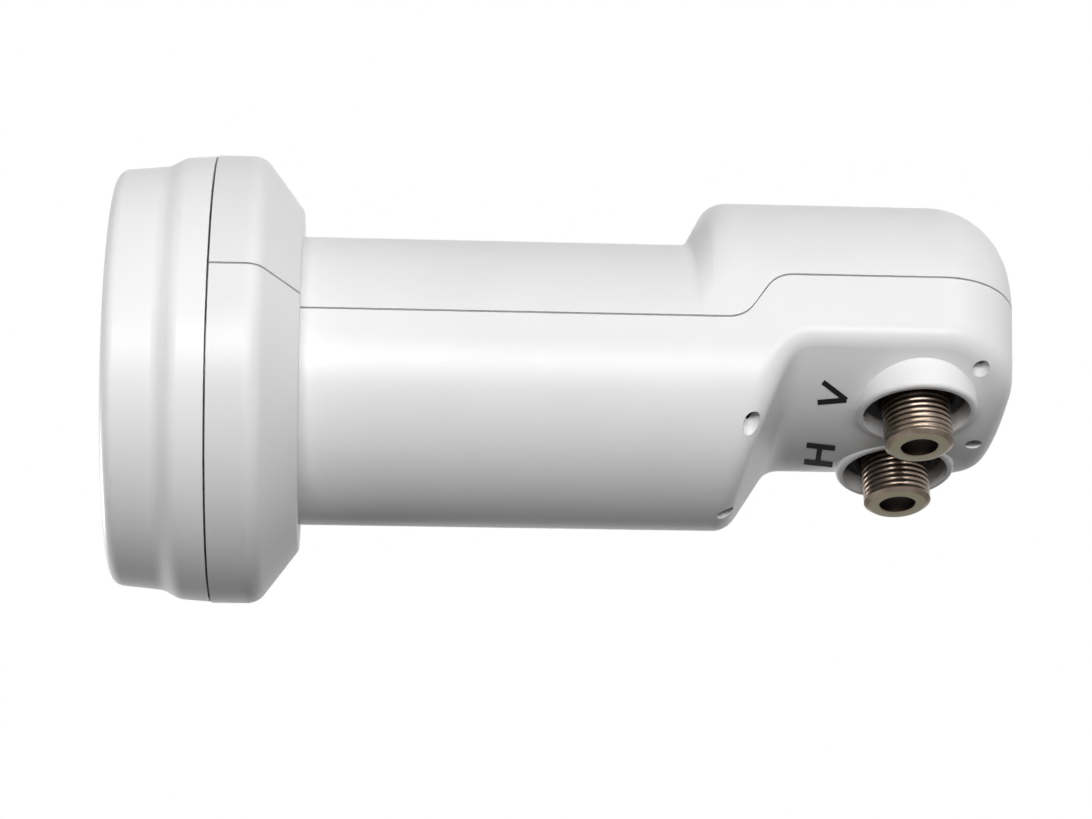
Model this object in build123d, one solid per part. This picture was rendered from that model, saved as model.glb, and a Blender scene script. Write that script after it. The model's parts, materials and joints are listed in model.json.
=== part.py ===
from build123d import *
import os
from math import cos, radians, sin, sqrt

os.makedirs("parts", exist_ok=True)

# All sizes are millimetres. X runs along the horn axis, with the horn towards -X
# and the ports at the +X end pointing down. The origin is on the axis at the
# middle of the 40 mm neck, where a dish arm clamps the unit.

# Shells
neck_r = 20.0
wall = 2.0
neck_front_x = -27.0
flange_front_x = -38.7
flange_r = 30.95
flange_edge_x = -32.5
flange_back_r = 23.6
flange_edge_round = 3.0
flange_back_round = 0.8
join_x = 8.0
head_x = 42.0
port_x = 57.2
rear_x = port_x + 14.45
rear_round = 11.5
rear_lean = 5.0

# Raised head of the upper shell
head_lift = 7.05
bump_foot_x = 26.2
bump_top_x = 29.7
bump_foot_round = 1.2
bump_top_round = 4.0

# Underside of the lower shell, an arc about a line along X
belly_r = 37.0
belly_drop = 8.2
belly_start_x = 39.4
slope_foot_x = 31.7
slope_corner_round = 4.5
belly_edge_round = 3.5

# Line where the two shells meet
seam_rise_x = 32.5
seam_top_x = 37.2
seam_lift = 6.8
seam_round = 4.2
seam_groove = 0.3
seam_groove_depth = 0.9

# Ports
port_y = 8.6
port_end_z = -13.55
port_r = 4.7
port_bore_r = 2.5
port_end_chamfer = 0.35
port_seat_r = 4.4
port_spigot_r = 3.6
collar_r = 8.35
collar_bore_r = 7.4
collar_rim_z = -8.4
collar_rim_round = 0.6
seal_height = 2.0
insulator_recess = 2.1
contact_r = 0.5
contact_entry_r = 0.6
contact_depth = 2.4

# Drain holes in the lower shell, as X and Y
drain_r = 1.2
drain_top_z = -3.0
drain_places = [
    (33.4, -14.5),
    (33.4, 14.5),
    (31.3, 0),
    (rear_x - 6.6, -15.4),
    (rear_x - 6.6, 15.4),
    (rear_x - 4.8, 0),
]

# Pegs of the upper shell in sockets of the lower shell, as X and Y
peg_r = 1.2
peg_reach = 5.0
boss_r = 2.3
peg_places = [
    (-12, -14.9),
    (-12, 14.9),
    (4, -14.9),
    (4, 14.9),
    (rear_x - 4.6, -8.5),
    (rear_x - 4.6, 8.5),
]

# Front cap
cap_front_x = -52.5
cap_wall = 1.6
cap_front_r = flange_r - 2.35
cap_step_x = -45.3
cap_step_r = flange_r - 1.65
cap_shoulder_x = -43.2
cap_shoulder_r = flange_r - 0.45
cap_back_r = flange_r - 0.15
cap_gap = 0.3
cap_front_round = 1.8
cap_step_round = 2.8
cap_skirt_r = flange_r - 2.55
cap_skirt_x = -45.2
cap_bead_r = cap_skirt_r - 0.5

# Feed casting
horn_r = cap_skirt_r - 2.0
horn_clearance = 0.2
horn_rib_x = -41.9
horn_rib_width = 1.6
horn_plate = 2.5
ring_wall = 1.2
ring_floor_x = -40.5
ring_radii = [14.0, 18.4, horn_r - 3.6]
ring_fronts = [-45.5, -48.4]
guide_r = 9.0
guide_wall = 1.6
guide_end_x = 34.4
guide_close = 0.7
flare_x = -33.0
hub_x = -30.0
hub_r = 21.0
centre_rings = [-20.0, 13.0]
centre_ring_width = 2.0
seal_groove_x = -48.6
seal_groove_width = 2.2
seal_groove_r = horn_r - 1.5

# Chamber of the casting
box_front_x = 30.4
box_rear_x = rear_x - 7.1
box_y = 13.4
box_floor_z = -2.0
box_floor = 3.0
box_top_z = 14.6
box_wall = 1.4
box_round = 2.5
tongue_front_x = 17.5
tongue_y = 8.2
ledge = 1.4
well_front_x = 37.0
ear_r = 2.2
ear_y = 13.0
ear_height = 6.0
ear_places = [35.5, 48.0, box_rear_x - 3.4]

# Board, lid and what sits on them
board_z = 11.4
board_thick = 1.2
board_clearance = 0.2
gasket_thick = 0.4
lid_thick = 1.0
lid_screw_r = 0.9
lid_screw_head_r = 1.7
lid_screw_head = 0.9
lid_screw_length = 5.0
puck_r = 2.6
puck_height = 1.3
puck_places = [(44.0, -5.2), (44.0, 5.2)]
tuner_r = 1.5
tuner_gap = 0.4
tuner_rise = 0.8
chips = [
    (24.5, 3.6, 3.0, 2.2),
    (34.5, 0, 4.0, 4.0),
    (51.0, 0, 5.0, 4.0),
    (port_x + 0.3, 0, 4.0, 6.0),
]
chip_height = 1.1

# Probes in the waveguide
probe_r = 0.6
probe_sleeve_r = 1.3
probe_tip = 4.2
probe_v_x = 22.0
probe_h_x = 33.0
probe_h_y = 10.5
probe_h_foot = 0.9
probe_h_sink = 1.8
probe_arm_r = 0.5
probe_side_r = 1.1
pin_x = 27.0
pin_r = 0.8
pin_sink = 1.2


def rod(x, y, z0, z1, r):
    """Upright cylinder between two heights."""
    return Pos(x, y, z0) * Cylinder(r, z1 - z0, align=(Align.CENTER, Align.CENTER, Align.MIN))


def block(x0, x1, y, z0, z1):
    """Box between two X and two Z values, centred on Y."""
    return Pos(x0, 0, z0) * Box(x1 - x0, 2 * y, z1 - z0, align=(Align.MIN, Align.CENTER, Align.MIN))


def turned(points, rounds=()):
    """Solid turned about the X axis from X and radius points, with rounded corners."""
    face = Plane.XZ * make_face(Polyline(*points, close=True))
    for (x, r), radius in rounds:
        corner = face.vertices().sort_by_distance((x, 0, r))[0]
        face = fillet(corner, radius)
    return revolve(face, Axis.X)


def flange_points(inset):
    """Outline of the flange and front of the neck, moved inwards by the inset."""
    run = neck_front_x - flange_edge_x
    drop = flange_r - flange_back_r
    length = sqrt(run**2 + drop**2)
    back_x = neck_front_x - inset
    start_x = flange_edge_x - inset * (length - run) / drop
    slope_r = flange_r - (back_x - flange_edge_x) * drop / run - inset * length / run
    front_x = flange_front_x - (1.0 if inset else 0.0)
    return [
        (front_x, 0),
        (front_x, flange_r - inset),
        (start_x, flange_r - inset),
        (back_x, slope_r),
        (back_x, neck_r - inset),
        (join_x, neck_r - inset),
        (join_x, 0),
    ]


def belly_cutter(inset):
    """What is taken off below the slope and the arched underside."""
    reach = 24.0
    lean = (belly_start_x - slope_foot_x) / (neck_r - belly_drop)
    across = sqrt(1 + lean**2)
    corner_x = belly_start_x - inset * (across - lean)
    arc_r = belly_r - inset
    top_z = inset - belly_drop
    points = [
        (corner_x, 0, top_z),
        (rear_x + 20, 0, top_z),
        (rear_x + 20, 0, top_z - reach),
        (corner_x - reach * lean, 0, top_z - reach),
    ]
    face = make_face(Polyline(*points, close=True))
    corner = face.vertices().sort_by_distance(points[0])[0]
    face = fillet(corner, slope_corner_round + inset)
    axis = Axis((0, 0, top_z + arc_r), (1, 0, 0))
    return revolve(face, axis)


def head_path(inset):
    """Line along which the round head section rises from the neck to the rear."""
    points = [
        (join_x, 0, 0),
        (bump_foot_x + inset, 0, 0),
        (bump_top_x + inset, 0, head_lift),
        (head_x, 0, head_lift),
    ]
    path = Wire.make_polygon([Vector(*p) for p in points], close=False)
    foot = path.vertices().sort_by_distance(points[1])[0]
    path = path.fillet_2d(bump_foot_round + inset, [foot])
    top = path.vertices().sort_by_distance(points[2])[0]
    return path.fillet_2d(bump_top_round - inset / 2, [top])


def full_form(inset):
    """Both shells as one solid before the underside is cut, moved inwards by the inset."""
    radius = neck_r - inset
    rounds = []
    if not inset:
        rounds = [
            ((flange_edge_x, flange_r), flange_edge_round),
            ((neck_front_x, flange_back_r), flange_back_round),
        ]
    front = turned(flange_points(inset), rounds)
    section = Plane.YZ.offset(join_x) * make_face(
        [
            CenterArc((0, 0), radius, 0, 180),
            Polyline((-radius, 0), (-radius, -head_lift - 2), (radius, -head_lift - 2), (radius, 0)),
        ]
    )
    upper = sweep(section, path=head_path(inset), normal=(1, 0, 0))
    upper -= block(join_x - 1, head_x + 1, 2 * neck_r, -2 * neck_r, 0)
    half = make_face([CenterArc((0, 0), radius, 180, 180), Line((-radius, 0), (radius, 0))])
    lower = extrude(Plane.YZ.offset(join_x) * half, head_x - join_x)
    outline = make_face(
        [
            CenterArc((0, head_lift), radius, 0, 180),
            Line((-radius, head_lift), (-radius, 0)),
            CenterArc((0, 0), radius, 180, 180),
            Line((radius, 0), (radius, head_lift)),
        ]
    )
    lean = radians(rear_lean)
    end = Plane((rear_x - inset / cos(lean), 0, seam_lift), z_dir=(cos(lean), 0, -sin(lean)))
    head = extrude(Plane.YZ.offset(head_x) * outline, rear_x + wall - head_x)
    head = split(head, bisect_by=end, keep=Keep.BOTTOM)
    head = fillet(head.faces().sort_by(Axis.X)[-1].edges(), rear_round - inset)
    return front + lower + head + upper


def whole_form(inset):
    """Both shells as one solid, its skin moved inwards by the inset."""
    return full_form(inset) - belly_cutter(inset)


def round_belly(skin):
    """Round the outer edge all round the slope and the underside."""
    body = full_form(0)
    cutter = belly_cutter(0)
    loop = [edge.center() for edge in new_edges(body, cutter, combined=body - cutter)]
    edges = []
    for edge in skin.edges():
        if min((edge.center() - centre).length for centre in loop) < 0.01:
            edges.append(edge)
    return fillet(edges, belly_edge_round)


def above_seam(lift):
    """Everything above the line between the shells, moved up by the lift."""
    far = 90.0
    points = [
        (-far, 0, lift),
        (seam_rise_x, 0, lift),
        (seam_top_x, 0, seam_lift + lift),
        (far, 0, seam_lift + lift),
        (far, 0, far),
        (-far, 0, far),
    ]
    face = make_face(Polyline(*points, close=True))
    bends = [face.vertices().sort_by_distance(p)[0] for p in points[1:3]]
    face = fillet(bends, seam_round)
    return extrude(face, far, both=True)


def seam_height(x):
    """Height of the line between the shells away from its rise."""
    return 0.0 if x < seam_rise_x else seam_lift


def build_shells():
    """Upper and lower shell with collars, drain holes, pegs and sockets."""
    outer = whole_form(0)
    cavity = whole_form(wall)
    top = above_seam(0)
    line = above_seam(-seam_groove / 2) - above_seam(seam_groove / 2)
    groove = line & (outer - whole_form(seam_groove_depth))
    skin = round_belly(outer - cavity)
    upper = (skin & top) - groove
    lower = (skin - top) - groove
    for side in (-1, 1):
        collar = rod(port_x, side * port_y, collar_rim_z, box_floor_z, collar_r)
        collar = fillet(collar.edges().sort_by(Axis.Z)[0], collar_rim_round)
        lower += collar
    for side in (-1, 1):
        lower -= rod(port_x, side * port_y, collar_rim_z - 1, box_floor_z + 1, collar_bore_r)
    for x, y in peg_places:
        z = seam_height(x)
        post = rod(x, y, z, z + neck_r, boss_r) & cavity
        peg = rod(x, y, z - peg_reach, z, peg_r)
        socket = (rod(x, y, z - neck_r, z, boss_r) & cavity) - rod(x, y, z - peg_reach, z, peg_r)
        upper += post + peg
        lower += socket
    for x, y in drain_places:
        lower -= rod(x, y, -neck_r - 5, drain_top_z, drain_r)
    return upper, lower


def build_cap():
    """Front cap with its stepped skirt and the bead that clips behind the horn rib."""
    back_x = flange_front_x - cap_gap
    inner_front_x = cap_front_x + cap_wall
    bead_x = horn_rib_x + horn_rib_width
    sleeve_r = horn_r + horn_clearance
    points = [
        (cap_front_x, 0),
        (cap_front_x, cap_front_r),
        (cap_step_x, cap_step_r),
        (cap_shoulder_x, cap_shoulder_r),
        (back_x, cap_back_r),
        (back_x, cap_bead_r),
        (bead_x, cap_bead_r),
        (bead_x, cap_skirt_r),
        (cap_skirt_x, cap_skirt_r),
        (cap_skirt_x, sleeve_r),
        (inner_front_x, sleeve_r),
        (inner_front_x, 0),
    ]
    rounds = [
        ((cap_front_x, cap_front_r), cap_front_round),
        ((cap_step_x, cap_step_r), cap_step_round),
        ((cap_shoulder_x, cap_shoulder_r), cap_step_round),
    ]
    return turned(points, rounds)


def build_cap_seal():
    """O-ring between the horn and the cap."""
    outer_r = horn_r + horn_clearance
    ring_r = (outer_r - seal_groove_r) / 2
    middle = Pos(seal_groove_x + seal_groove_width / 2, seal_groove_r + ring_r)
    return revolve(Plane.XZ * middle * Circle(ring_r), Axis.X)


def horn_and_guide():
    """Turned part of the casting: corrugated horn, plate, hub and waveguide tube."""
    rim_x = cap_front_x + cap_wall
    tube_r = guide_r + guide_wall
    points = [
        (rim_x, ring_radii[2]),
        (rim_x, horn_r),
        (seal_groove_x, horn_r),
        (seal_groove_x, seal_groove_r),
        (seal_groove_x + seal_groove_width, seal_groove_r),
        (seal_groove_x + seal_groove_width, horn_r),
        (horn_rib_x, horn_r),
        (horn_rib_x, cap_skirt_r),
        (horn_rib_x + horn_rib_width, cap_skirt_r),
        (horn_rib_x + horn_rib_width, horn_r),
        (flange_front_x, horn_r),
        (flange_front_x, flange_r - wall),
        (flange_front_x + horn_plate, flange_r - wall),
        (flange_front_x + horn_plate, hub_r),
        (hub_x, tube_r),
        (guide_end_x + guide_close, tube_r),
        (guide_end_x + guide_close, 0),
        (guide_end_x, 0),
        (guide_end_x, guide_r),
        (flare_x, guide_r),
        (ring_fronts[0], ring_radii[0]),
        (ring_fronts[0], ring_radii[0] + ring_wall),
        (ring_floor_x, ring_radii[0] + ring_wall),
        (ring_floor_x, ring_radii[1]),
        (ring_fronts[1], ring_radii[1]),
        (ring_fronts[1], ring_radii[1] + ring_wall),
        (ring_floor_x, ring_radii[1] + ring_wall),
        (ring_floor_x, ring_radii[2]),
    ]
    body = turned(points)
    for x in centre_rings:
        body += turned(
            [
                (x - centre_ring_width / 2, tube_r - 0.5),
                (x - centre_ring_width / 2, neck_r - wall),
                (x + centre_ring_width / 2, neck_r - wall),
                (x + centre_ring_width / 2, tube_r - 0.5),
            ]
        )
    return body


def chamber_outline(shrink):
    """Plan of the chamber from tongue to rear wall, drawn smaller by shrink."""
    front = tongue_front_x + shrink
    rear = box_rear_x - shrink
    step = box_front_x + shrink
    narrow = tongue_y - shrink
    wide = box_y - shrink
    return make_face(
        Polyline(
            (front, -narrow),
            (step, -narrow),
            (step, -wide),
            (rear, -wide),
            (rear, wide),
            (step, wide),
            (step, narrow),
            (front, narrow),
            close=True,
        )
    )


def ears(z0, z1):
    """Screw ears beside the chamber between two heights."""
    return [rod(x, side * ear_y, z0, z1, ear_r) for x in ear_places for side in (-1, 1)]


def ear_holes(z0, z1):
    """Holes for the lid screws between two heights."""
    return [rod(x, side * ear_y, z0, z1, lid_screw_r) for x in ear_places for side in (-1, 1)]


def build_casting():
    """Die casting: horn, waveguide, chamber, port floor and the probe passages."""
    body = horn_and_guide()
    box = block(box_front_x, box_rear_x, box_y, box_floor_z, box_top_z)
    box = fillet(box.edges().filter_by(Axis.Z), box_round)
    tongue = block(tongue_front_x, box_front_x + box_round + 1, tongue_y, 0, box_top_z)
    floor = box_floor_z + box_floor
    for side in (-1, 1):
        box += rod(port_x, side * port_y, box_floor_z, floor, collar_bore_r)
    for ear in ears(box_top_z - ear_height, box_top_z):
        box += ear
    guide = Rot(0, 90, 0) * Cylinder(guide_r, 2 * guide_end_x)
    body += (box + tongue) - guide
    pocket = extrude(Pos(0, 0, board_z) * chamber_outline(box_wall), box_top_z - board_z)
    well = block(well_front_x, box_rear_x - box_wall - ledge, box_y - box_wall - ledge, floor, board_z)
    body -= pocket
    body -= well
    for hole in ear_holes(box_top_z - lid_screw_length, box_top_z):
        body -= hole
    for side in (-1, 1):
        body -= rod(port_x, side * port_y, box_floor_z, floor, port_spigot_r)
    body -= rod(probe_v_x, 0, 0, board_z, probe_sleeve_r)
    body -= rod(probe_h_x, probe_h_y, -probe_h_sink, board_z, probe_sleeve_r)
    body -= Pos(probe_h_x, probe_h_y / 2, 0) * Rot(90, 0, 0) * Cylinder(probe_side_r, probe_h_y)
    body -= rod(pin_x, 0, -guide_r - pin_sink, guide_r + pin_sink, pin_r)
    return body


def build_board():
    """Circuit board with holes for probes and port contacts."""
    plan = chamber_outline(box_wall + board_clearance)
    board = extrude(Pos(0, 0, board_z) * plan, board_thick)
    top = board_z + board_thick
    board -= rod(probe_v_x, 0, board_z, top, probe_r)
    board -= rod(probe_h_x, probe_h_y, board_z, top, probe_r)
    for side in (-1, 1):
        board -= rod(port_x, side * port_y, board_z, top, contact_r)
    return board


def build_chips():
    """Packages soldered on the board."""
    top = board_z + board_thick
    return [
        Pos(x, y, top) * Box(long, wide, chip_height, align=(Align.CENTER, Align.CENTER, Align.MIN))
        for x, y, long, wide in chips
    ]


def build_pucks():
    """Resonator pucks on the board."""
    top = board_z + board_thick
    return [rod(x, y, top, top + puck_height, puck_r) for x, y in puck_places]


def lid_plate(z0, z1, plan_shrink):
    """Plate with the plan of the chamber top and its screw ears."""
    plate = extrude(Pos(0, 0, z0) * chamber_outline(plan_shrink), z1 - z0)
    for ear in ears(z0, z1):
        plate += ear
    for hole in ear_holes(z0, z1):
        plate -= hole
    return plate


def build_gasket():
    """Seal between the chamber rim and its lid."""
    opening = extrude(Pos(0, 0, box_top_z) * chamber_outline(box_wall), gasket_thick)
    return lid_plate(box_top_z, box_top_z + gasket_thick, 0.6) - opening


def build_lid():
    """Chamber lid with threaded holes for the two tuning screws."""
    z0 = box_top_z + gasket_thick
    lid = lid_plate(z0, z0 + lid_thick, 0.6)
    for x, y in puck_places:
        lid -= rod(x, y, z0, z0 + lid_thick, tuner_r)
    return lid


def build_lid_screws():
    """Screws through the lid into the ears of the casting."""
    seat = box_top_z + gasket_thick + lid_thick
    tip = box_top_z - lid_screw_length
    screws = []
    for x in ear_places:
        for side in (-1, 1):
            shank = rod(x, side * ear_y, tip, seat, lid_screw_r)
            screws.append(shank + rod(x, side * ear_y, seat, seat + lid_screw_head, lid_screw_head_r))
    return screws


def build_tuners():
    """Tuning screws in the lid, just above the resonator pucks."""
    low = board_z + board_thick + puck_height + tuner_gap
    high = box_top_z + gasket_thick + lid_thick + tuner_rise
    return [rod(x, y, low, high, tuner_r) for x, y in puck_places]


def build_probe_v():
    """Straight probe from the board down into the waveguide."""
    return rod(probe_v_x, 0, probe_tip, board_z + board_thick, probe_r)


def build_probe_h():
    """Bent probe from the board, entering the waveguide from the side."""
    leg = rod(probe_h_x, probe_h_y, -probe_h_foot, board_z + board_thick, probe_r)
    reach = probe_h_y - probe_tip
    return leg + Pos(probe_h_x, probe_tip + reach / 2, 0) * Rot(90, 0, 0) * Cylinder(probe_arm_r, reach)


def build_sleeve_v():
    """Insulating sleeve round the straight probe."""
    body = rod(probe_v_x, 0, 0, board_z, probe_sleeve_r) - rod(probe_v_x, 0, 0, board_z, probe_r)
    return body - Rot(0, 90, 0) * Cylinder(guide_r, 2 * guide_end_x)


def build_sleeve_h():
    """Insulating sleeve round the upright leg of the bent probe."""
    low = probe_sleeve_r
    body = rod(probe_h_x, probe_h_y, low, board_z, probe_sleeve_r)
    return body - rod(probe_h_x, probe_h_y, low, board_z, probe_r)


def build_pin():
    """Pin across the waveguide that parts the two probes."""
    return rod(pin_x, 0, -guide_r - pin_sink, guide_r + pin_sink, pin_r)


def build_port_body(y):
    """Threaded port barrel with its spigot in the chamber floor; the thread itself is plain."""
    seat_z = box_floor_z - seal_height
    barrel = rod(port_x, y, port_end_z, seat_z, port_r)
    barrel = chamfer(barrel.edges().sort_by(Axis.Z)[0], port_end_chamfer)
    barrel += rod(port_x, y, seat_z, box_floor_z, port_seat_r)
    barrel += rod(port_x, y, box_floor_z, box_floor_z + box_floor, port_spigot_r)
    return barrel - rod(port_x, y, port_end_z, box_floor_z + box_floor, port_bore_r)


def build_port_insulator(y):
    """Insulator inside the port barrel with the entry hole for the cable wire."""
    front = port_end_z + insulator_recess
    body = rod(port_x, y, front, box_floor_z + box_floor, port_bore_r)
    body -= rod(port_x, y, front, front + contact_depth, contact_entry_r)
    return body - rod(port_x, y, front + contact_depth, box_floor_z + box_floor, contact_r)


def build_port_contact(y):
    """Centre contact from inside the insulator up to the board."""
    low = port_end_z + insulator_recess + contact_depth
    return rod(port_x, y, low, board_z + board_thick, contact_r)


def build_port_seal(y):
    """Rubber washer between barrel and collar, against the chamber floor."""
    body = rod(port_x, y, box_floor_z - seal_height, box_floor_z, collar_bore_r)
    return body - rod(port_x, y, box_floor_z - seal_height, box_floor_z, port_seat_r)


upper_shell, lower_shell = build_shells()
nodes = {
    "upper_shell": upper_shell,
    "lower_shell": lower_shell,
    "front_cap": build_cap(),
    "cap_seal": build_cap_seal(),
    "feed_casting": build_casting(),
    "main_board": build_board(),
    "board_chips": build_chips(),
    "resonator_pucks": build_pucks(),
    "lid_gasket": build_gasket(),
    "chamber_lid": build_lid(),
    "lid_screws": build_lid_screws(),
    "tuning_screws": build_tuners(),
    "probe_v": build_probe_v(),
    "probe_h": build_probe_h(),
    "probe_v_sleeve": build_sleeve_v(),
    "probe_h_sleeve": build_sleeve_h(),
    "isolation_pin": build_pin(),
}
for name, y in (("port_v", -port_y), ("port_h", port_y)):
    nodes[name + "_body"] = build_port_body(y)
    nodes[name + "_insulator"] = build_port_insulator(y)
    nodes[name + "_contact"] = build_port_contact(y)
    nodes[name + "_seal"] = build_port_seal(y)

for name, shape in nodes.items():
    pieces = shape if isinstance(shape, list) else [shape]
    solids = [solid for piece in pieces for solid in piece.solids()]
    export_step(Compound(children=solids) if len(solids) > 1 else solids[0], f"parts/{name}.step")
    print(name, len(solids), round(sum(s.volume for s in solids), 1))
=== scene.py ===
# %% [markdown]
# # A satellite converter on a white page
# The object is the small unit that sits at the focus of a satellite dish. Its body comes
# from exact solids, so this lesson loads them, lights them, gives every piece a finish,
# and adds what is too fine for the solids: the port threads, the rubber lips round them,
# which also stand in as painted shade deep inside the collars, and the printed port letters.

import json
import math

import bpy
from mathutils import Matrix, Vector


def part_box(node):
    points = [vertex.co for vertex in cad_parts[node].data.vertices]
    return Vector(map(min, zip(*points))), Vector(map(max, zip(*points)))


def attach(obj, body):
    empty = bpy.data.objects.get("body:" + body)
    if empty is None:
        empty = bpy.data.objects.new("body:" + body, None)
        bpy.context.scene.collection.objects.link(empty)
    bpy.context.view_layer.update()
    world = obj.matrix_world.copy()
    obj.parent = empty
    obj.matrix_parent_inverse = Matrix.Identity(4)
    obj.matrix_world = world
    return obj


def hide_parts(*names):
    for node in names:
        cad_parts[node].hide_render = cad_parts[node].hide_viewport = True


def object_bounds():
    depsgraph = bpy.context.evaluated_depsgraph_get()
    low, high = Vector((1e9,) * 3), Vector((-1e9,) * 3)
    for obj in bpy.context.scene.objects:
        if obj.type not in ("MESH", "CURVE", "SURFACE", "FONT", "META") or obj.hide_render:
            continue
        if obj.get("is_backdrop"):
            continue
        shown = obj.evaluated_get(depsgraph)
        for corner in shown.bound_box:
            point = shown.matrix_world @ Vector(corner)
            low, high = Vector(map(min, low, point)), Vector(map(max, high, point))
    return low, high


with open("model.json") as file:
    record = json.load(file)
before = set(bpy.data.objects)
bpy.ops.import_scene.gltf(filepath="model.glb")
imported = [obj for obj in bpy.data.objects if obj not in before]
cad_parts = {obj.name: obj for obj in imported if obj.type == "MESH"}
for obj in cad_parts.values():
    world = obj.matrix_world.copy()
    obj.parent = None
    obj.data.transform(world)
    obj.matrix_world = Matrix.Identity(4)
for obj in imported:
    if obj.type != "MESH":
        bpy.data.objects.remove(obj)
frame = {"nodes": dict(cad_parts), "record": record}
solid_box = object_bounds()
nodes = frame["nodes"]
MM = 0.001
print("solids loaded:", len(nodes))

# %% [markdown]
# ## Camera
# The picture was taken from below the unit, a little to the left, with a long lens.
# A camera can be aimed with a constraint, but three axes written straight into its matrix
# also hold the small roll of a hand-held shot, so that is done here. The lens follows
# from the picture's focal length in pixels and Blender's 36 mm sensor.

# %% Camera
PICTURE_WIDTH = 1092
PICTURE_HEIGHT = 819
FOCAL_PIXELS = 2825.87
SENSOR_WIDTH = 36.0
camera_turn = math.radians(-4.33)
camera_rise = math.radians(-28.664)
camera_roll = math.radians(-1.052)
camera_aim = Vector((6.97, 0, -3.845)) * MM
camera_distance = 393.365 * MM
NEAREST_SEEN = 10 * MM

view_back = Vector((
    math.sin(camera_turn) * math.cos(camera_rise),
    -math.cos(camera_turn) * math.cos(camera_rise),
    math.sin(camera_rise),
))
level_right = Vector((math.cos(camera_turn), math.sin(camera_turn), 0))
level_up = view_back.cross(level_right)
view_right = level_right * math.cos(camera_roll) + level_up * math.sin(camera_roll)
view_up = level_up * math.cos(camera_roll) - level_right * math.sin(camera_roll)
camera_place = camera_aim + view_back * camera_distance

camera_data = bpy.data.cameras.new("camera")
camera_data.sensor_width = SENSOR_WIDTH
camera_data.lens = FOCAL_PIXELS / PICTURE_WIDTH * SENSOR_WIDTH
camera_data.clip_start = NEAREST_SEEN
camera = bpy.data.objects.new("camera", camera_data)
camera.matrix_world = Matrix.LocRotScale(
    camera_place, Matrix((view_right, view_up, view_back)).transposed().to_quaternion(), None
)
bpy.context.scene.collection.objects.link(camera)
bpy.context.scene.camera = camera
bpy.context.scene.view_settings.view_transform = "Standard"
print("camera lens", round(camera_data.lens, 2), "mm at", tuple(round(c, 3) for c in camera_place))

# %% [markdown]
# ## White surroundings
# Product shots of this kind end up on pure white. The sky is white to the camera and to
# mirror-like surfaces, but lights everything else as a soft grey room, so the plastic
# keeps its shading. A pale floor lies well below, because the unit hangs in its clamp.
# To the eye and in reflections it glows a little; to stray light it is dark, because the
# lower edges of the unit are dark in the picture.

# %% Sky and floor
ROOM_GREY = 0.04
FLOOR_Z = -1.0
FLOOR_SIZE = 60.0
FLOOR_BOUNCE = 0.08
FLOOR_PALE = 0.9
FLOOR_GLOW = 0.62
FLOOR_ROUGHNESS = 0.9


def seen_directly(tree):
    """One for rays from the camera, from mirrors and through glass, nought for stray light."""
    path = tree.nodes.new("ShaderNodeLightPath")
    shiny = tree.nodes.new("ShaderNodeMath")
    shiny.operation = "MAXIMUM"
    tree.links.new(path.outputs["Is Glossy Ray"], shiny.inputs[0])
    tree.links.new(path.outputs["Is Transmission Ray"], shiny.inputs[1])
    direct = tree.nodes.new("ShaderNodeMath")
    direct.operation = "MAXIMUM"
    tree.links.new(path.outputs["Is Camera Ray"], direct.inputs[0])
    tree.links.new(shiny.outputs["Value"], direct.inputs[1])
    return direct.outputs["Value"]


sky = bpy.data.worlds.new("white page")
bpy.context.scene.world = sky
sky.use_nodes = True
tree = sky.node_tree
tree.nodes.clear()
seen = tree.nodes.new("ShaderNodeBackground")
seen.inputs["Color"].default_value = (1, 1, 1, 1)
seen.inputs["Strength"].default_value = 1.0
room = tree.nodes.new("ShaderNodeBackground")
room.inputs["Color"].default_value = (ROOM_GREY, ROOM_GREY, ROOM_GREY, 1)
room.inputs["Strength"].default_value = 1.0
pick = tree.nodes.new("ShaderNodeMixShader")
tree.links.new(seen_directly(tree), pick.inputs["Fac"])
tree.links.new(room.outputs["Background"], pick.inputs[1])
tree.links.new(seen.outputs["Background"], pick.inputs[2])
world_out = tree.nodes.new("ShaderNodeOutputWorld")
tree.links.new(pick.outputs["Shader"], world_out.inputs["Surface"])

floor_mesh = bpy.data.meshes.new("floor")
half = FLOOR_SIZE / 2
floor_outline = ((-half, -half), (half, -half), (half, half), (-half, half))
floor_mesh.from_pydata([(x, y, FLOOR_Z) for x, y in floor_outline], [], [(0, 1, 2, 3)])
floor = bpy.data.objects.new("floor", floor_mesh)
bpy.context.scene.collection.objects.link(floor)
floor_finish = bpy.data.materials.new("pale floor")
floor_finish.use_nodes = True
floor_tree = floor_finish.node_tree
floor_shader = floor_tree.nodes["Principled BSDF"]
floor_shader.inputs["Roughness"].default_value = FLOOR_ROUGHNESS
floor_seen = seen_directly(floor_tree)
floor_tone = floor_tree.nodes.new("ShaderNodeMix")
floor_tone.data_type = "RGBA"
floor_tone.inputs["A"].default_value = (FLOOR_BOUNCE, FLOOR_BOUNCE, FLOOR_BOUNCE, 1)
floor_tone.inputs["B"].default_value = (FLOOR_PALE, FLOOR_PALE, FLOOR_PALE, 1)
floor_page = floor_tree.nodes.new("ShaderNodeEmission")
floor_page.inputs["Color"].default_value = (1, 1, 1, 1)
floor_share = floor_tree.nodes.new("ShaderNodeMath")
floor_share.operation = "MULTIPLY"
floor_share.inputs[1].default_value = FLOOR_GLOW
floor_pick = floor_tree.nodes.new("ShaderNodeMixShader")
floor_tree.links.new(floor_seen, floor_tone.inputs["Factor"])
floor_tree.links.new(floor_tone.outputs["Result"], floor_shader.inputs["Base Color"])
floor_tree.links.new(floor_seen, floor_share.inputs[0])
floor_tree.links.new(floor_share.outputs["Value"], floor_pick.inputs["Fac"])
floor_tree.links.new(floor_shader.outputs["BSDF"], floor_pick.inputs[1])
floor_tree.links.new(floor_page.outputs["Emission"], floor_pick.inputs[2])
floor_out = floor_tree.nodes["Material Output"]
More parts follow.
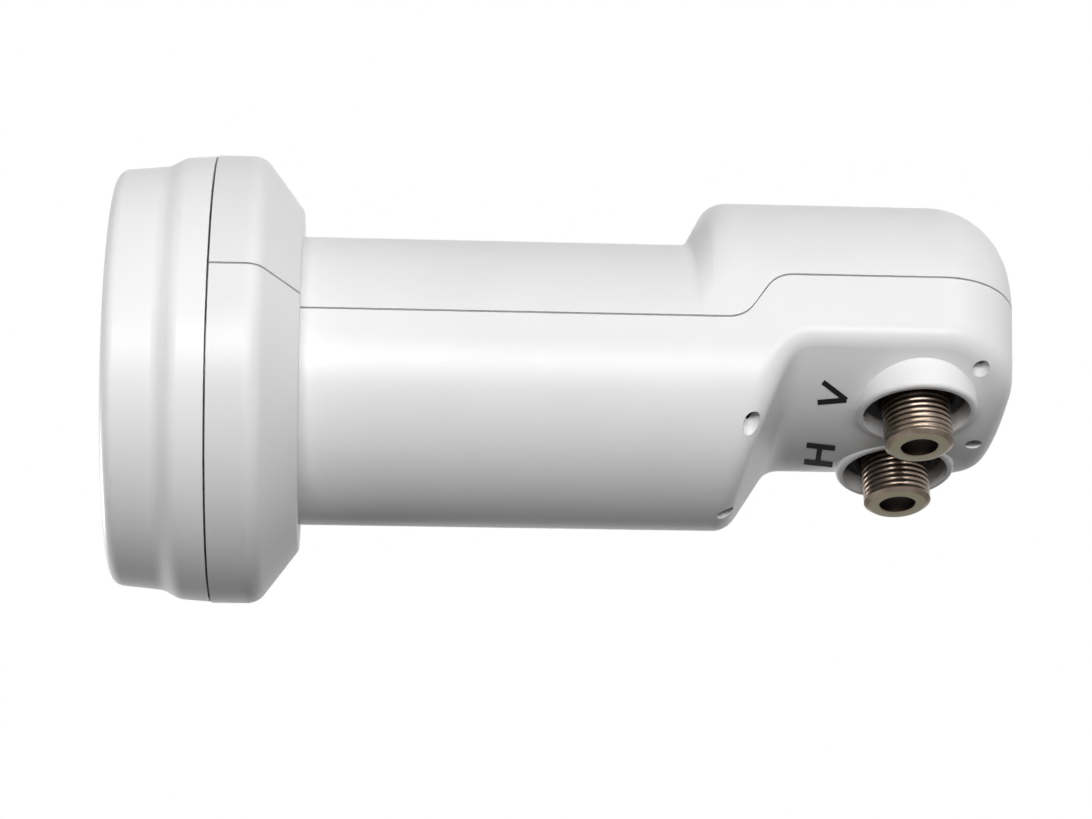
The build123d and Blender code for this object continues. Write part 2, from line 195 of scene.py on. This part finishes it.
floor_tree.links.new(floor_pick.outputs["Shader"], floor_out.inputs["Surface"])
floor_mesh.materials.append(floor_finish)
floor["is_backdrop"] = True
print("sky and floor ready, floor at", FLOOR_Z)

# %% [markdown]
# ## Lamps
# The bright band along the neck tells where the main lamp stood: in front, long and
# narrow, well above the camera. A second one nearer the camera lights the lower half, two
# weak ones fill in, and a high strip draws the glints on the ports. Area lamps give soft
# edges, which is what a white plastic needs to show its form. Three more light the sides
# that the picture does not show. Two of these are kept out of reflections, where they
# would draw a bright line along the lower edges.

# %% Lamps
LAMP_AIM = Vector((6, 0, 0)) * MM
NO_GLARE = ("right lamp", "back lamp")


def add_lamp(name, place, width, height, watts):
    """Soft lamp with a flat rectangular face that looks at the middle of the unit."""
    data = bpy.data.lights.new(name, "AREA")
    data.shape = "RECTANGLE"
    data.size = width
    data.size_y = height
    data.energy = watts
    lamp = bpy.data.objects.new(name, data)
    lamp.location = place
    toward = LAMP_AIM - Vector(place)
    lamp.rotation_mode = "QUATERNION"
    lamp.rotation_quaternion = toward.to_track_quat("-Z", "Y")
    bpy.context.scene.collection.objects.link(lamp)
    return lamp


lamps = [
    add_lamp("left front lamp", (-0.10, -0.85, -0.24), 0.50, 0.14, 1.8),
    add_lamp("long front lamp", (0.08, -0.85, -0.12), 0.80, 0.10, 4.2),
    add_lamp("broad front lamp", (0.0, -0.90, 0.15), 0.80, 0.50, 0.5),
    add_lamp("right front lamp", (0.50, -0.75, 0.05), 0.50, 0.50, 0.3),
    add_lamp("glint strip", (0.30, -0.80, 0.44), 0.80, 0.15, 1.6),
    add_lamp("right lamp", (0.95, 0.0, 0.38), 0.50, 0.50, 1.2),
    add_lamp("left lamp", (-0.80, 0.60, 0.0), 0.30, 0.30, 5.5),
    add_lamp("back lamp", (0.07, 0.85, 0.52), 0.80, 0.80, 7.0),
]
for lamp in lamps:
    lamp.visible_camera = False
    lamp.visible_glossy = lamp.name not in NO_GLARE
print("lamps:", [lamp.name for lamp in lamps])

# %% [markdown]
# ## Shared surface effects
# Two effects turn up in several finishes. The first is a fine grain, the eroded texture
# of a mould, given as a height. The second is a soft mottle between two colours. Each is
# a node group, built once and placed in a material with its own values.

# %% Grain and mottle groups
GRAIN_DETAIL = 2.0
CLOUD_DETAIL = 3.0
CLOUD_LOW = 0.35
CLOUD_HIGH = 0.65


def new_group(name, inputs, outputs):
    """Empty shader group with named sockets, and its two end nodes."""
    group = bpy.data.node_groups.new(name, "ShaderNodeTree")
    for label, kind, value in inputs:
        socket = group.interface.new_socket(name=label, in_out="INPUT", socket_type=kind)
        socket.default_value = value
    for label, kind in outputs:
        group.interface.new_socket(name=label, in_out="OUTPUT", socket_type=kind)
    return group, group.nodes.new("NodeGroupInput"), group.nodes.new("NodeGroupOutput")


grain, grain_in, grain_out = new_group(
    "mould grain",
    [("Scale", "NodeSocketFloat", 3000.0)],
    [("Height", "NodeSocketFloat")],
)
place = grain.nodes.new("ShaderNodeTexCoord")
speckle = grain.nodes.new("ShaderNodeTexNoise")
speckle.inputs["Detail"].default_value = GRAIN_DETAIL
grain.links.new(place.outputs["Object"], speckle.inputs["Vector"])
grain.links.new(grain_in.outputs["Scale"], speckle.inputs["Scale"])
grain.links.new(speckle.outputs["Fac"], grain_out.inputs["Height"])

mottle, mottle_in, mottle_out = new_group(
    "mottle",
    [
        ("Light", "NodeSocketColor", (1, 1, 1, 1)),
        ("Dark", "NodeSocketColor", (0.9, 0.9, 0.9, 1)),
        ("Scale", "NodeSocketFloat", 100.0),
    ],
    [("Color", "NodeSocketColor")],
)
place = mottle.nodes.new("ShaderNodeTexCoord")
clouds = mottle.nodes.new("ShaderNodeTexNoise")
clouds.inputs["Detail"].default_value = CLOUD_DETAIL
spread = mottle.nodes.new("ShaderNodeMapRange")
spread.inputs["From Min"].default_value = CLOUD_LOW
spread.inputs["From Max"].default_value = CLOUD_HIGH
blend = mottle.nodes.new("ShaderNodeMix")
blend.data_type = "RGBA"
mottle.links.new(place.outputs["Object"], clouds.inputs["Vector"])
mottle.links.new(mottle_in.outputs["Scale"], clouds.inputs["Scale"])
mottle.links.new(clouds.outputs["Fac"], spread.inputs["Value"])
mottle.links.new(spread.outputs["Result"], blend.inputs["Factor"])
mottle.links.new(mottle_in.outputs["Dark"], blend.inputs["A"])
mottle.links.new(mottle_in.outputs["Light"], blend.inputs["B"])
mottle.links.new(blend.outputs["Result"], mottle_out.inputs["Color"])
print("groups:", grain.name, "and", mottle.name)

# %% [markdown]
# ## Finishes
# Every finish is a Principled shader. Its colour comes from the mottle, so no surface is
# one flat tone, and the moulded and cast pieces get the grain as a bump. Whatever is the
# same all over is set on the shader's own sockets.

# %% A maker for finishes
def make_finish(
    name, light, dark, roughness, metallic=0.0, shine=0.5,
    mottle_scale=90.0, grain_scale=0.0, grain_depth=0.0,
):
    """Material with a mottled colour and, if asked, a grained surface."""
    finish = bpy.data.materials.new(name)
    finish.use_nodes = True
    tree = finish.node_tree
    shader = tree.nodes["Principled BSDF"]
    shader.inputs["Roughness"].default_value = roughness
    shader.inputs["Metallic"].default_value = metallic
    shader.inputs["Specular IOR Level"].default_value = shine
    colour = tree.nodes.new("ShaderNodeGroup")
    colour.node_tree = mottle
    colour.inputs["Light"].default_value = (*light, 1)
    colour.inputs["Dark"].default_value = (*dark, 1)
    colour.inputs["Scale"].default_value = mottle_scale
    tree.links.new(colour.outputs["Color"], shader.inputs["Base Color"])
    if grain_depth:
        texture = tree.nodes.new("ShaderNodeGroup")
        texture.node_tree = grain
        texture.inputs["Scale"].default_value = grain_scale
        bump = tree.nodes.new("ShaderNodeBump")
        bump.inputs["Strength"].default_value = 1.0
        bump.inputs["Distance"].default_value = grain_depth
        tree.links.new(texture.outputs["Height"], bump.inputs["Height"])
        tree.links.new(bump.outputs["Normal"], shader.inputs["Normal"])
    return finish


shell_white = make_finish(
    "satin white shell", (0.83, 0.83, 0.83), (0.81, 0.81, 0.81), 0.36,
    grain_scale=3600, grain_depth=0.012 * MM,
)
cap_white = make_finish("smooth white cap", (0.92, 0.92, 0.92), (0.905, 0.905, 0.905), 0.37)
casting_metal = make_finish(
    "cast metal", (0.66, 0.67, 0.68), (0.56, 0.57, 0.58), 0.42, 1.0,
    grain_scale=1500, grain_depth=0.02 * MM,
)
lid_metal = make_finish("lid sheet", (0.70, 0.70, 0.71), (0.64, 0.64, 0.65), 0.35, 1.0)
board_green = make_finish("board lacquer", (0.05, 0.26, 0.11), (0.04, 0.20, 0.08), 0.35)
matt_black = make_finish("matt black", (0.016, 0.016, 0.017), (0.011, 0.011, 0.012), 0.7, shine=0.1)
puck_ceramic = make_finish("puck ceramic", (0.64, 0.52, 0.40), (0.56, 0.45, 0.34), 0.6)
seal_rubber = make_finish("seal rubber", (0.03, 0.03, 0.03), (0.016, 0.016, 0.016), 0.7, shine=0.15)
screw_steel = make_finish("screw steel", (0.60, 0.60, 0.60), (0.50, 0.50, 0.50), 0.3, 1.0)
tuner_brass = make_finish("turned brass", (0.70, 0.56, 0.30), (0.60, 0.47, 0.24), 0.3, 1.0)
probe_metal = make_finish("plated wire", (0.74, 0.70, 0.60), (0.66, 0.62, 0.52), 0.3, 1.0)
insulator_white = make_finish("white insulator", (0.82, 0.82, 0.80), (0.78, 0.78, 0.76), 0.5)
insulator_dark = make_finish("dark insulator", (0.030, 0.034, 0.075), (0.018, 0.020, 0.045), 0.35)
contact_metal = make_finish("contact metal", (0.70, 0.62, 0.46), (0.60, 0.52, 0.38), 0.3, 1.0)
print("finishes made:", len(bpy.data.materials))

# %% [markdown]
# ## Port plating
# The ports are steel with a yellow passivated coat. Such a coat shifts from olive gold to
# a brownish violet with its thickness, so three colours are mixed: two browns by the
# mottle, and an olive tone on the ring at the open end, where the coat is thinnest.

# %% Port plating
PORT_END_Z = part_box("port_v_body")[0].z
OLIVE_BAND = 0.08 * MM
OLIVE = (0.25, 0.225, 0.155, 1)

port_plating = make_finish(
    "passivated plating", (0.29, 0.23, 0.19), (0.15, 0.115, 0.085), 0.28, 1.0, mottle_scale=220
)
tree = port_plating.node_tree
shader = tree.nodes["Principled BSDF"]
mottled = shader.inputs["Base Color"].links[0].from_socket
position = tree.nodes.new("ShaderNodeTexCoord")
axes = tree.nodes.new("ShaderNodeSeparateXYZ")
nearness = tree.nodes.new("ShaderNodeMapRange")
nearness.inputs["From Min"].default_value = PORT_END_Z + 2 * OLIVE_BAND
nearness.inputs["From Max"].default_value = PORT_END_Z + OLIVE_BAND
ring = tree.nodes.new("ShaderNodeMix")
ring.data_type = "RGBA"
ring.inputs["B"].default_value = OLIVE
tree.links.new(position.outputs["Object"], axes.inputs["Vector"])
tree.links.new(axes.outputs["Z"], nearness.inputs["Value"])
tree.links.new(nearness.outputs["Result"], ring.inputs["Factor"])
tree.links.new(mottled, ring.inputs["A"])
tree.links.new(ring.outputs["Result"], shader.inputs["Base Color"])
print("plating ready, ports end at", round(PORT_END_Z / MM, 2), "mm")

# %% [markdown]
# ## Dress the solids
# The record names a material slot for every node. A small table from slot to finish then
# dresses all the solids in one loop.

# %% Dress the solids
finish_of_slot = {
    "shell_white": shell_white,
    "cap_white": cap_white,
    "casting_metal": casting_metal,
    "lid_metal": lid_metal,
    "board_green": board_green,
    "matt_black": matt_black,
    "puck_ceramic": puck_ceramic,
    "seal_rubber": seal_rubber,
    "screw_steel": screw_steel,
    "tuner_brass": tuner_brass,
    "probe_metal": probe_metal,
    "insulator_white": insulator_white,
    "port_plating": port_plating,
    "port_insulator_dark": insulator_dark,
    "contact_metal": contact_metal,
}
for part in frame["record"]["subparts"]:
    mesh = nodes[part["node"]].data
    mesh.materials.clear()
    mesh.materials.append(finish_of_slot[part["material_slot"]])
print("dressed", len(nodes), "solids")

# %% [markdown]
# ## Port threads
# The ports carry a fine coaxial thread, too fine for the solids. A Screw modifier could
# wind a profile, but it leaves open ends. Here one closed outline of radius and height is
# carried round the port in steps, and only its threaded stretch changes with the angle:
# the ridge rises one pitch per turn and fades out at both ends. It is shallower than a
# real ridge, because the plating and the lens soften the thread in the picture.

# %% Threaded ports
THREAD_PITCH = 25.4 / 32 * MM
THREAD_DEPTH = 0.08 * MM
THREAD_FADE = 0.5 * MM
ROWS_PER_PITCH = 12
STEPS_ROUND = 120
FIRST_CREST = 0.63 * MM
FIRST_CREST_ANGLE = math.radians(-103)
END_RING = 0.6 * MM
END_FACE = 3.75 * MM
END_DOME = [(4.45 * MM, 0.42 * MM), (4.1 * MM, 0.14 * MM)]
BORE = 2.5 * MM
BORE_CHAMFER = 0.2 * MM
SPIGOT = 3.6 * MM
SEAT = 4.4 * MM
SEAT_TOP_Z = -2.0 * MM
SEAT_FOOT_Z = -4.0 * MM
SHARP_ANGLE = math.radians(40)


def ring_faces(count, steps):
    """Quads from each closed outline of count points to the next one, all the way round."""
    faces = []
    for step in range(steps):
        here = step * count
        there = (step + 1) % steps * count
        for point in range(count):
            after = (point + 1) % count
            faces.append((here + point, here + after, there + after, there + point))
    return faces


def shade_smooth(mesh):
    """Smooth shading that keeps the sharp edges of a turned piece."""
    mesh.polygons.foreach_set("use_smooth", [True] * len(mesh.polygons))
    mesh.set_sharp_from_angle(angle=SHARP_ANGLE)


def ridge(rise, angle):
    """Share of full radius at a rise above the end and an angle: one at a crest, nought at a root."""
    turns = (rise - FIRST_CREST) / THREAD_PITCH - (angle - FIRST_CREST_ANGLE) / (2 * math.pi)
    return 0.5 + 0.5 * math.cos(2 * math.pi * turns)


def threaded_port(node):
    """Closed mesh of a port: plain seat and spigot, helical thread, domed end and bore."""
    low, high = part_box(node)
    middle = (low + high) / 2
    outer = (high.x - low.x) / 2
    end_z = low.z
    bottom = end_z + END_RING
    rows = int((SEAT_FOOT_Z - bottom) / THREAD_PITCH * ROWS_PER_PITCH)
    outline = [
        (BORE, high.z, 0),
        (SPIGOT, high.z, 0),
        (SPIGOT, SEAT_TOP_Z, 0),
        (SEAT, SEAT_TOP_Z, 0),
        (SEAT, SEAT_FOOT_Z, 0),
    ]
    for row in range(rows + 1):
        height = SEAT_FOOT_Z + (bottom - SEAT_FOOT_Z) * row / rows
        fade = min(1.0, (SEAT_FOOT_Z - height) / THREAD_FADE, (height - bottom) / THREAD_FADE)
        outline.append((outer, height, THREAD_DEPTH * max(0.0, fade)))
    for radius, rise in END_DOME:
        outline.append((radius, end_z + rise, 0))
    outline += [
        (END_FACE, end_z, 0),
        (BORE + BORE_CHAMFER, end_z, 0),
        (BORE, end_z + BORE_CHAMFER, 0),
    ]
    verts = []
    for step in range(STEPS_ROUND):
        angle = 2 * math.pi * step / STEPS_ROUND
        for radius, height, depth in outline:
            r = radius - depth * (1 - ridge(height - end_z, angle))
            verts.append((middle.x + r * math.cos(angle), middle.y + r * math.sin(angle), height))
    mesh = bpy.data.meshes.new(node + "_threaded")
    mesh.from_pydata(verts, [], ring_faces(len(outline), STEPS_ROUND))
    mesh.materials.append(port_plating)
    port = bpy.data.objects.new(node + "_threaded", mesh)
    bpy.context.scene.collection.objects.link(port)
    shade_smooth(mesh)
    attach(port, "root")
    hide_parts(node)
    return port


for node in ("port_v_body", "port_h_body"):
    port = threaded_port(node)
    print(port.name, "faces", len(port.data.polygons))

# %% [markdown]
# ## Port seals
# A rubber washer fills each collar round its port and keeps rain out. Here it swells into
# a thick black lip that reaches down into the collar. The lip is partly the real rubber and
# partly painted shade for the dark deep inside the collar. A ring with this rounded lip,
# turned from an outline, takes the place of the plain washer of the solids.

# %% Port seals
# How far the black lip reaches down into the collar: rubber, and painted shade for the dark deep
# inside.
SHADE_LIP_RISE = 2.2 * MM
LIP_GAP = 0.05 * MM
LIP_FULLNESS = 4
LIP_CUTS = 8
SEAL_STEPS = 72


def seal_with_shade_lip(node, port_node):
    """Closed ring of rubber whose lower face swells between port and collar, partly as painted shade
    deep in the collar.
    """
    low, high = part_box(node)
    middle = (low + high) / 2
    outer = (high.x - low.x) / 2 - LIP_GAP
    port_low, port_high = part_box(port_node)
    thread = (port_high.x - port_low.x) / 2 + LIP_GAP
    outline = [(outer, high.z), (SEAT + LIP_GAP, high.z), (SEAT + LIP_GAP, low.z), (thread, low.z)]
    for cut in range(LIP_CUTS + 1):
        share = cut / LIP_CUTS
        bulge = (1 - (2 * share - 1) ** LIP_FULLNESS) * SHADE_LIP_RISE
        outline.append((thread + (outer - thread) * share, low.z - LIP_GAP - bulge))
    verts = []
    for step in range(SEAL_STEPS):
        angle = 2 * math.pi * step / SEAL_STEPS
        for r, height in outline:
            verts.append((middle.x + r * math.cos(angle), middle.y + r * math.sin(angle), height))
    mesh = bpy.data.meshes.new(node + "_shade_lip")
    mesh.from_pydata(verts, [], ring_faces(len(outline), SEAL_STEPS))
    mesh.materials.append(seal_rubber)
    seal = bpy.data.objects.new(node + "_shade_lip", mesh)
    bpy.context.scene.collection.objects.link(seal)
    shade_smooth(mesh)
    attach(seal, "root")
    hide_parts(node)
    return seal


for name in ("port_v", "port_h"):
    seal = seal_with_shade_lip(name + "_seal", name + "_body")
    print(seal.name, "faces", len(seal.data.polygons))

# %% [markdown]
# ## Port letters
# Two printed letters on the arched underside name the ports by their wave planes,
# vertical and horizontal. The strokes are thin bars that follow the arch. Their ends are
# read from the picture and carried along the camera's rays onto the underside, so each
# letter lies on the plastic and still looks right from the camera.

# %% Printed letters
BELLY_AXIS_Z = 28.8 * MM
BELLY_RADIUS = 37.0 * MM
INK_HEIGHT = 0.06 * MM
INK_SINK = 0.05 * MM
STROKE_PIXELS = 5.3
STROKE_CUTS = 8
V_STROKES = [
    ((823.0, 382.0), (846.5, 400.0)),
    ((817.5, 402.5), (846.5, 400.0)),
]
H_STROKES = [
    ((806.6, 445.2), (835.2, 448.4)),
    ((804.0, 461.8), (832.7, 464.9)),
    ((820.0, 446.6), (817.6, 463.4)),
]


def on_underside(pixel, radius):
    """Where the camera's ray through a pixel meets the arched underside."""
    across = (pixel[0] - PICTURE_WIDTH / 2) / FOCAL_PIXELS
    upward = (PICTURE_HEIGHT / 2 - pixel[1]) / FOCAL_PIXELS
    ray = view_right * across + view_up * upward - view_back
    y, z = camera_place.y, camera_place.z - BELLY_AXIS_Z
    a = ray.y ** 2 + ray.z ** 2
    b = y * ray.y + z * ray.z
    c = y * y + z * z - radius ** 2
    distance = (-b - math.sqrt(b * b - a * c)) / a
    return camera_place + ray * distance


def stroke_mesh(start, end, verts, faces):
    """Add one bar of ink between two picture points, cut along its length."""
    run = Vector(end) - Vector(start)
    side = Vector((-run.y, run.x)).normalized() * STROKE_PIXELS / 2
    corners = ((side, INK_HEIGHT), (-side, INK_HEIGHT), (-side, -INK_SINK), (side, -INK_SINK))
    count = len(corners)
    first = len(verts)
    last = first + count * STROKE_CUTS
    for cut in range(STROKE_CUTS + 1):
        centre = Vector(start) + run * cut / STROKE_CUTS
        for edge, rise in corners:
            verts.append(on_underside(centre + edge, BELLY_RADIUS + rise))
    for here in range(first, last, count):
        there = here + count
        for point in range(count):
            after = (point + 1) % count
            faces.append((here + point, here + after, there + after, there + point))
    faces.append((first + 3, first + 2, first + 1, first))
    faces.append((last, last + 1, last + 2, last + 3))


def printed_letter(name, strokes):
    """One letter of ink on the underside."""
    verts, faces = [], []
    for start, end in strokes:
        stroke_mesh(start, end, verts, faces)
    mesh = bpy.data.meshes.new(name)
    mesh.from_pydata([tuple(v) for v in verts], [], faces)
    mesh.materials.append(matt_black)
    letter = bpy.data.objects.new(name, mesh)
    bpy.context.scene.collection.objects.link(letter)
    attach(letter, "root")
    return letter


for name, strokes in (("letter_v", V_STROKES), ("letter_h", H_STROKES)):
    letter = printed_letter(name, strokes)
    print(letter.name, "bars", len(strokes))

# %% Finish
dressed_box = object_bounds()
growth = max(abs(a - b) for s, d in zip(solid_box, dressed_box) for a, b in zip(s, d))
print("box grew by", growth / MM, "mm")
